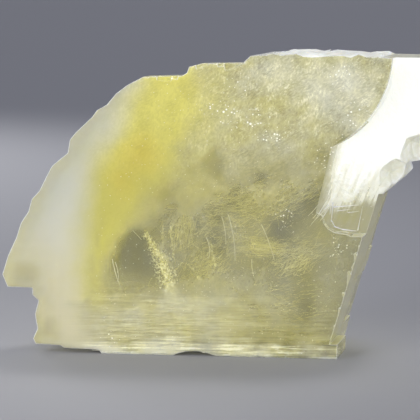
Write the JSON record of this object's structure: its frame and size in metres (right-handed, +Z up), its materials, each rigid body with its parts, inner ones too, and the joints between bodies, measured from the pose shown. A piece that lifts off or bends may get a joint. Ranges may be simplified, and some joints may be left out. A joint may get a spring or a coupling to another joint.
{
  "type": "angel wing calcite specimen",
  "caption": "Wing-shaped slab of clear pale yellow calcite with a milky tapered edge, cleavage ledges and a fresh break, standing on its lower edge.",
  "frame": {"origin": "middle of the footprint, on the surface that the slab stands on", "axes": "+Z up, +X along the slab towards its overhanging block, the broad front face looks along -Y"},
  "size_m": [0.0882, 0.018, 0.0607],
  "materials": {
    "calcite": "clear to milky pale yellow calcite, glassy cleavage faces and a satin wing edge"
  },
  "bodies": {
    "root": {"calcite_slab": "calcite"}
  },
  "joints": []
}
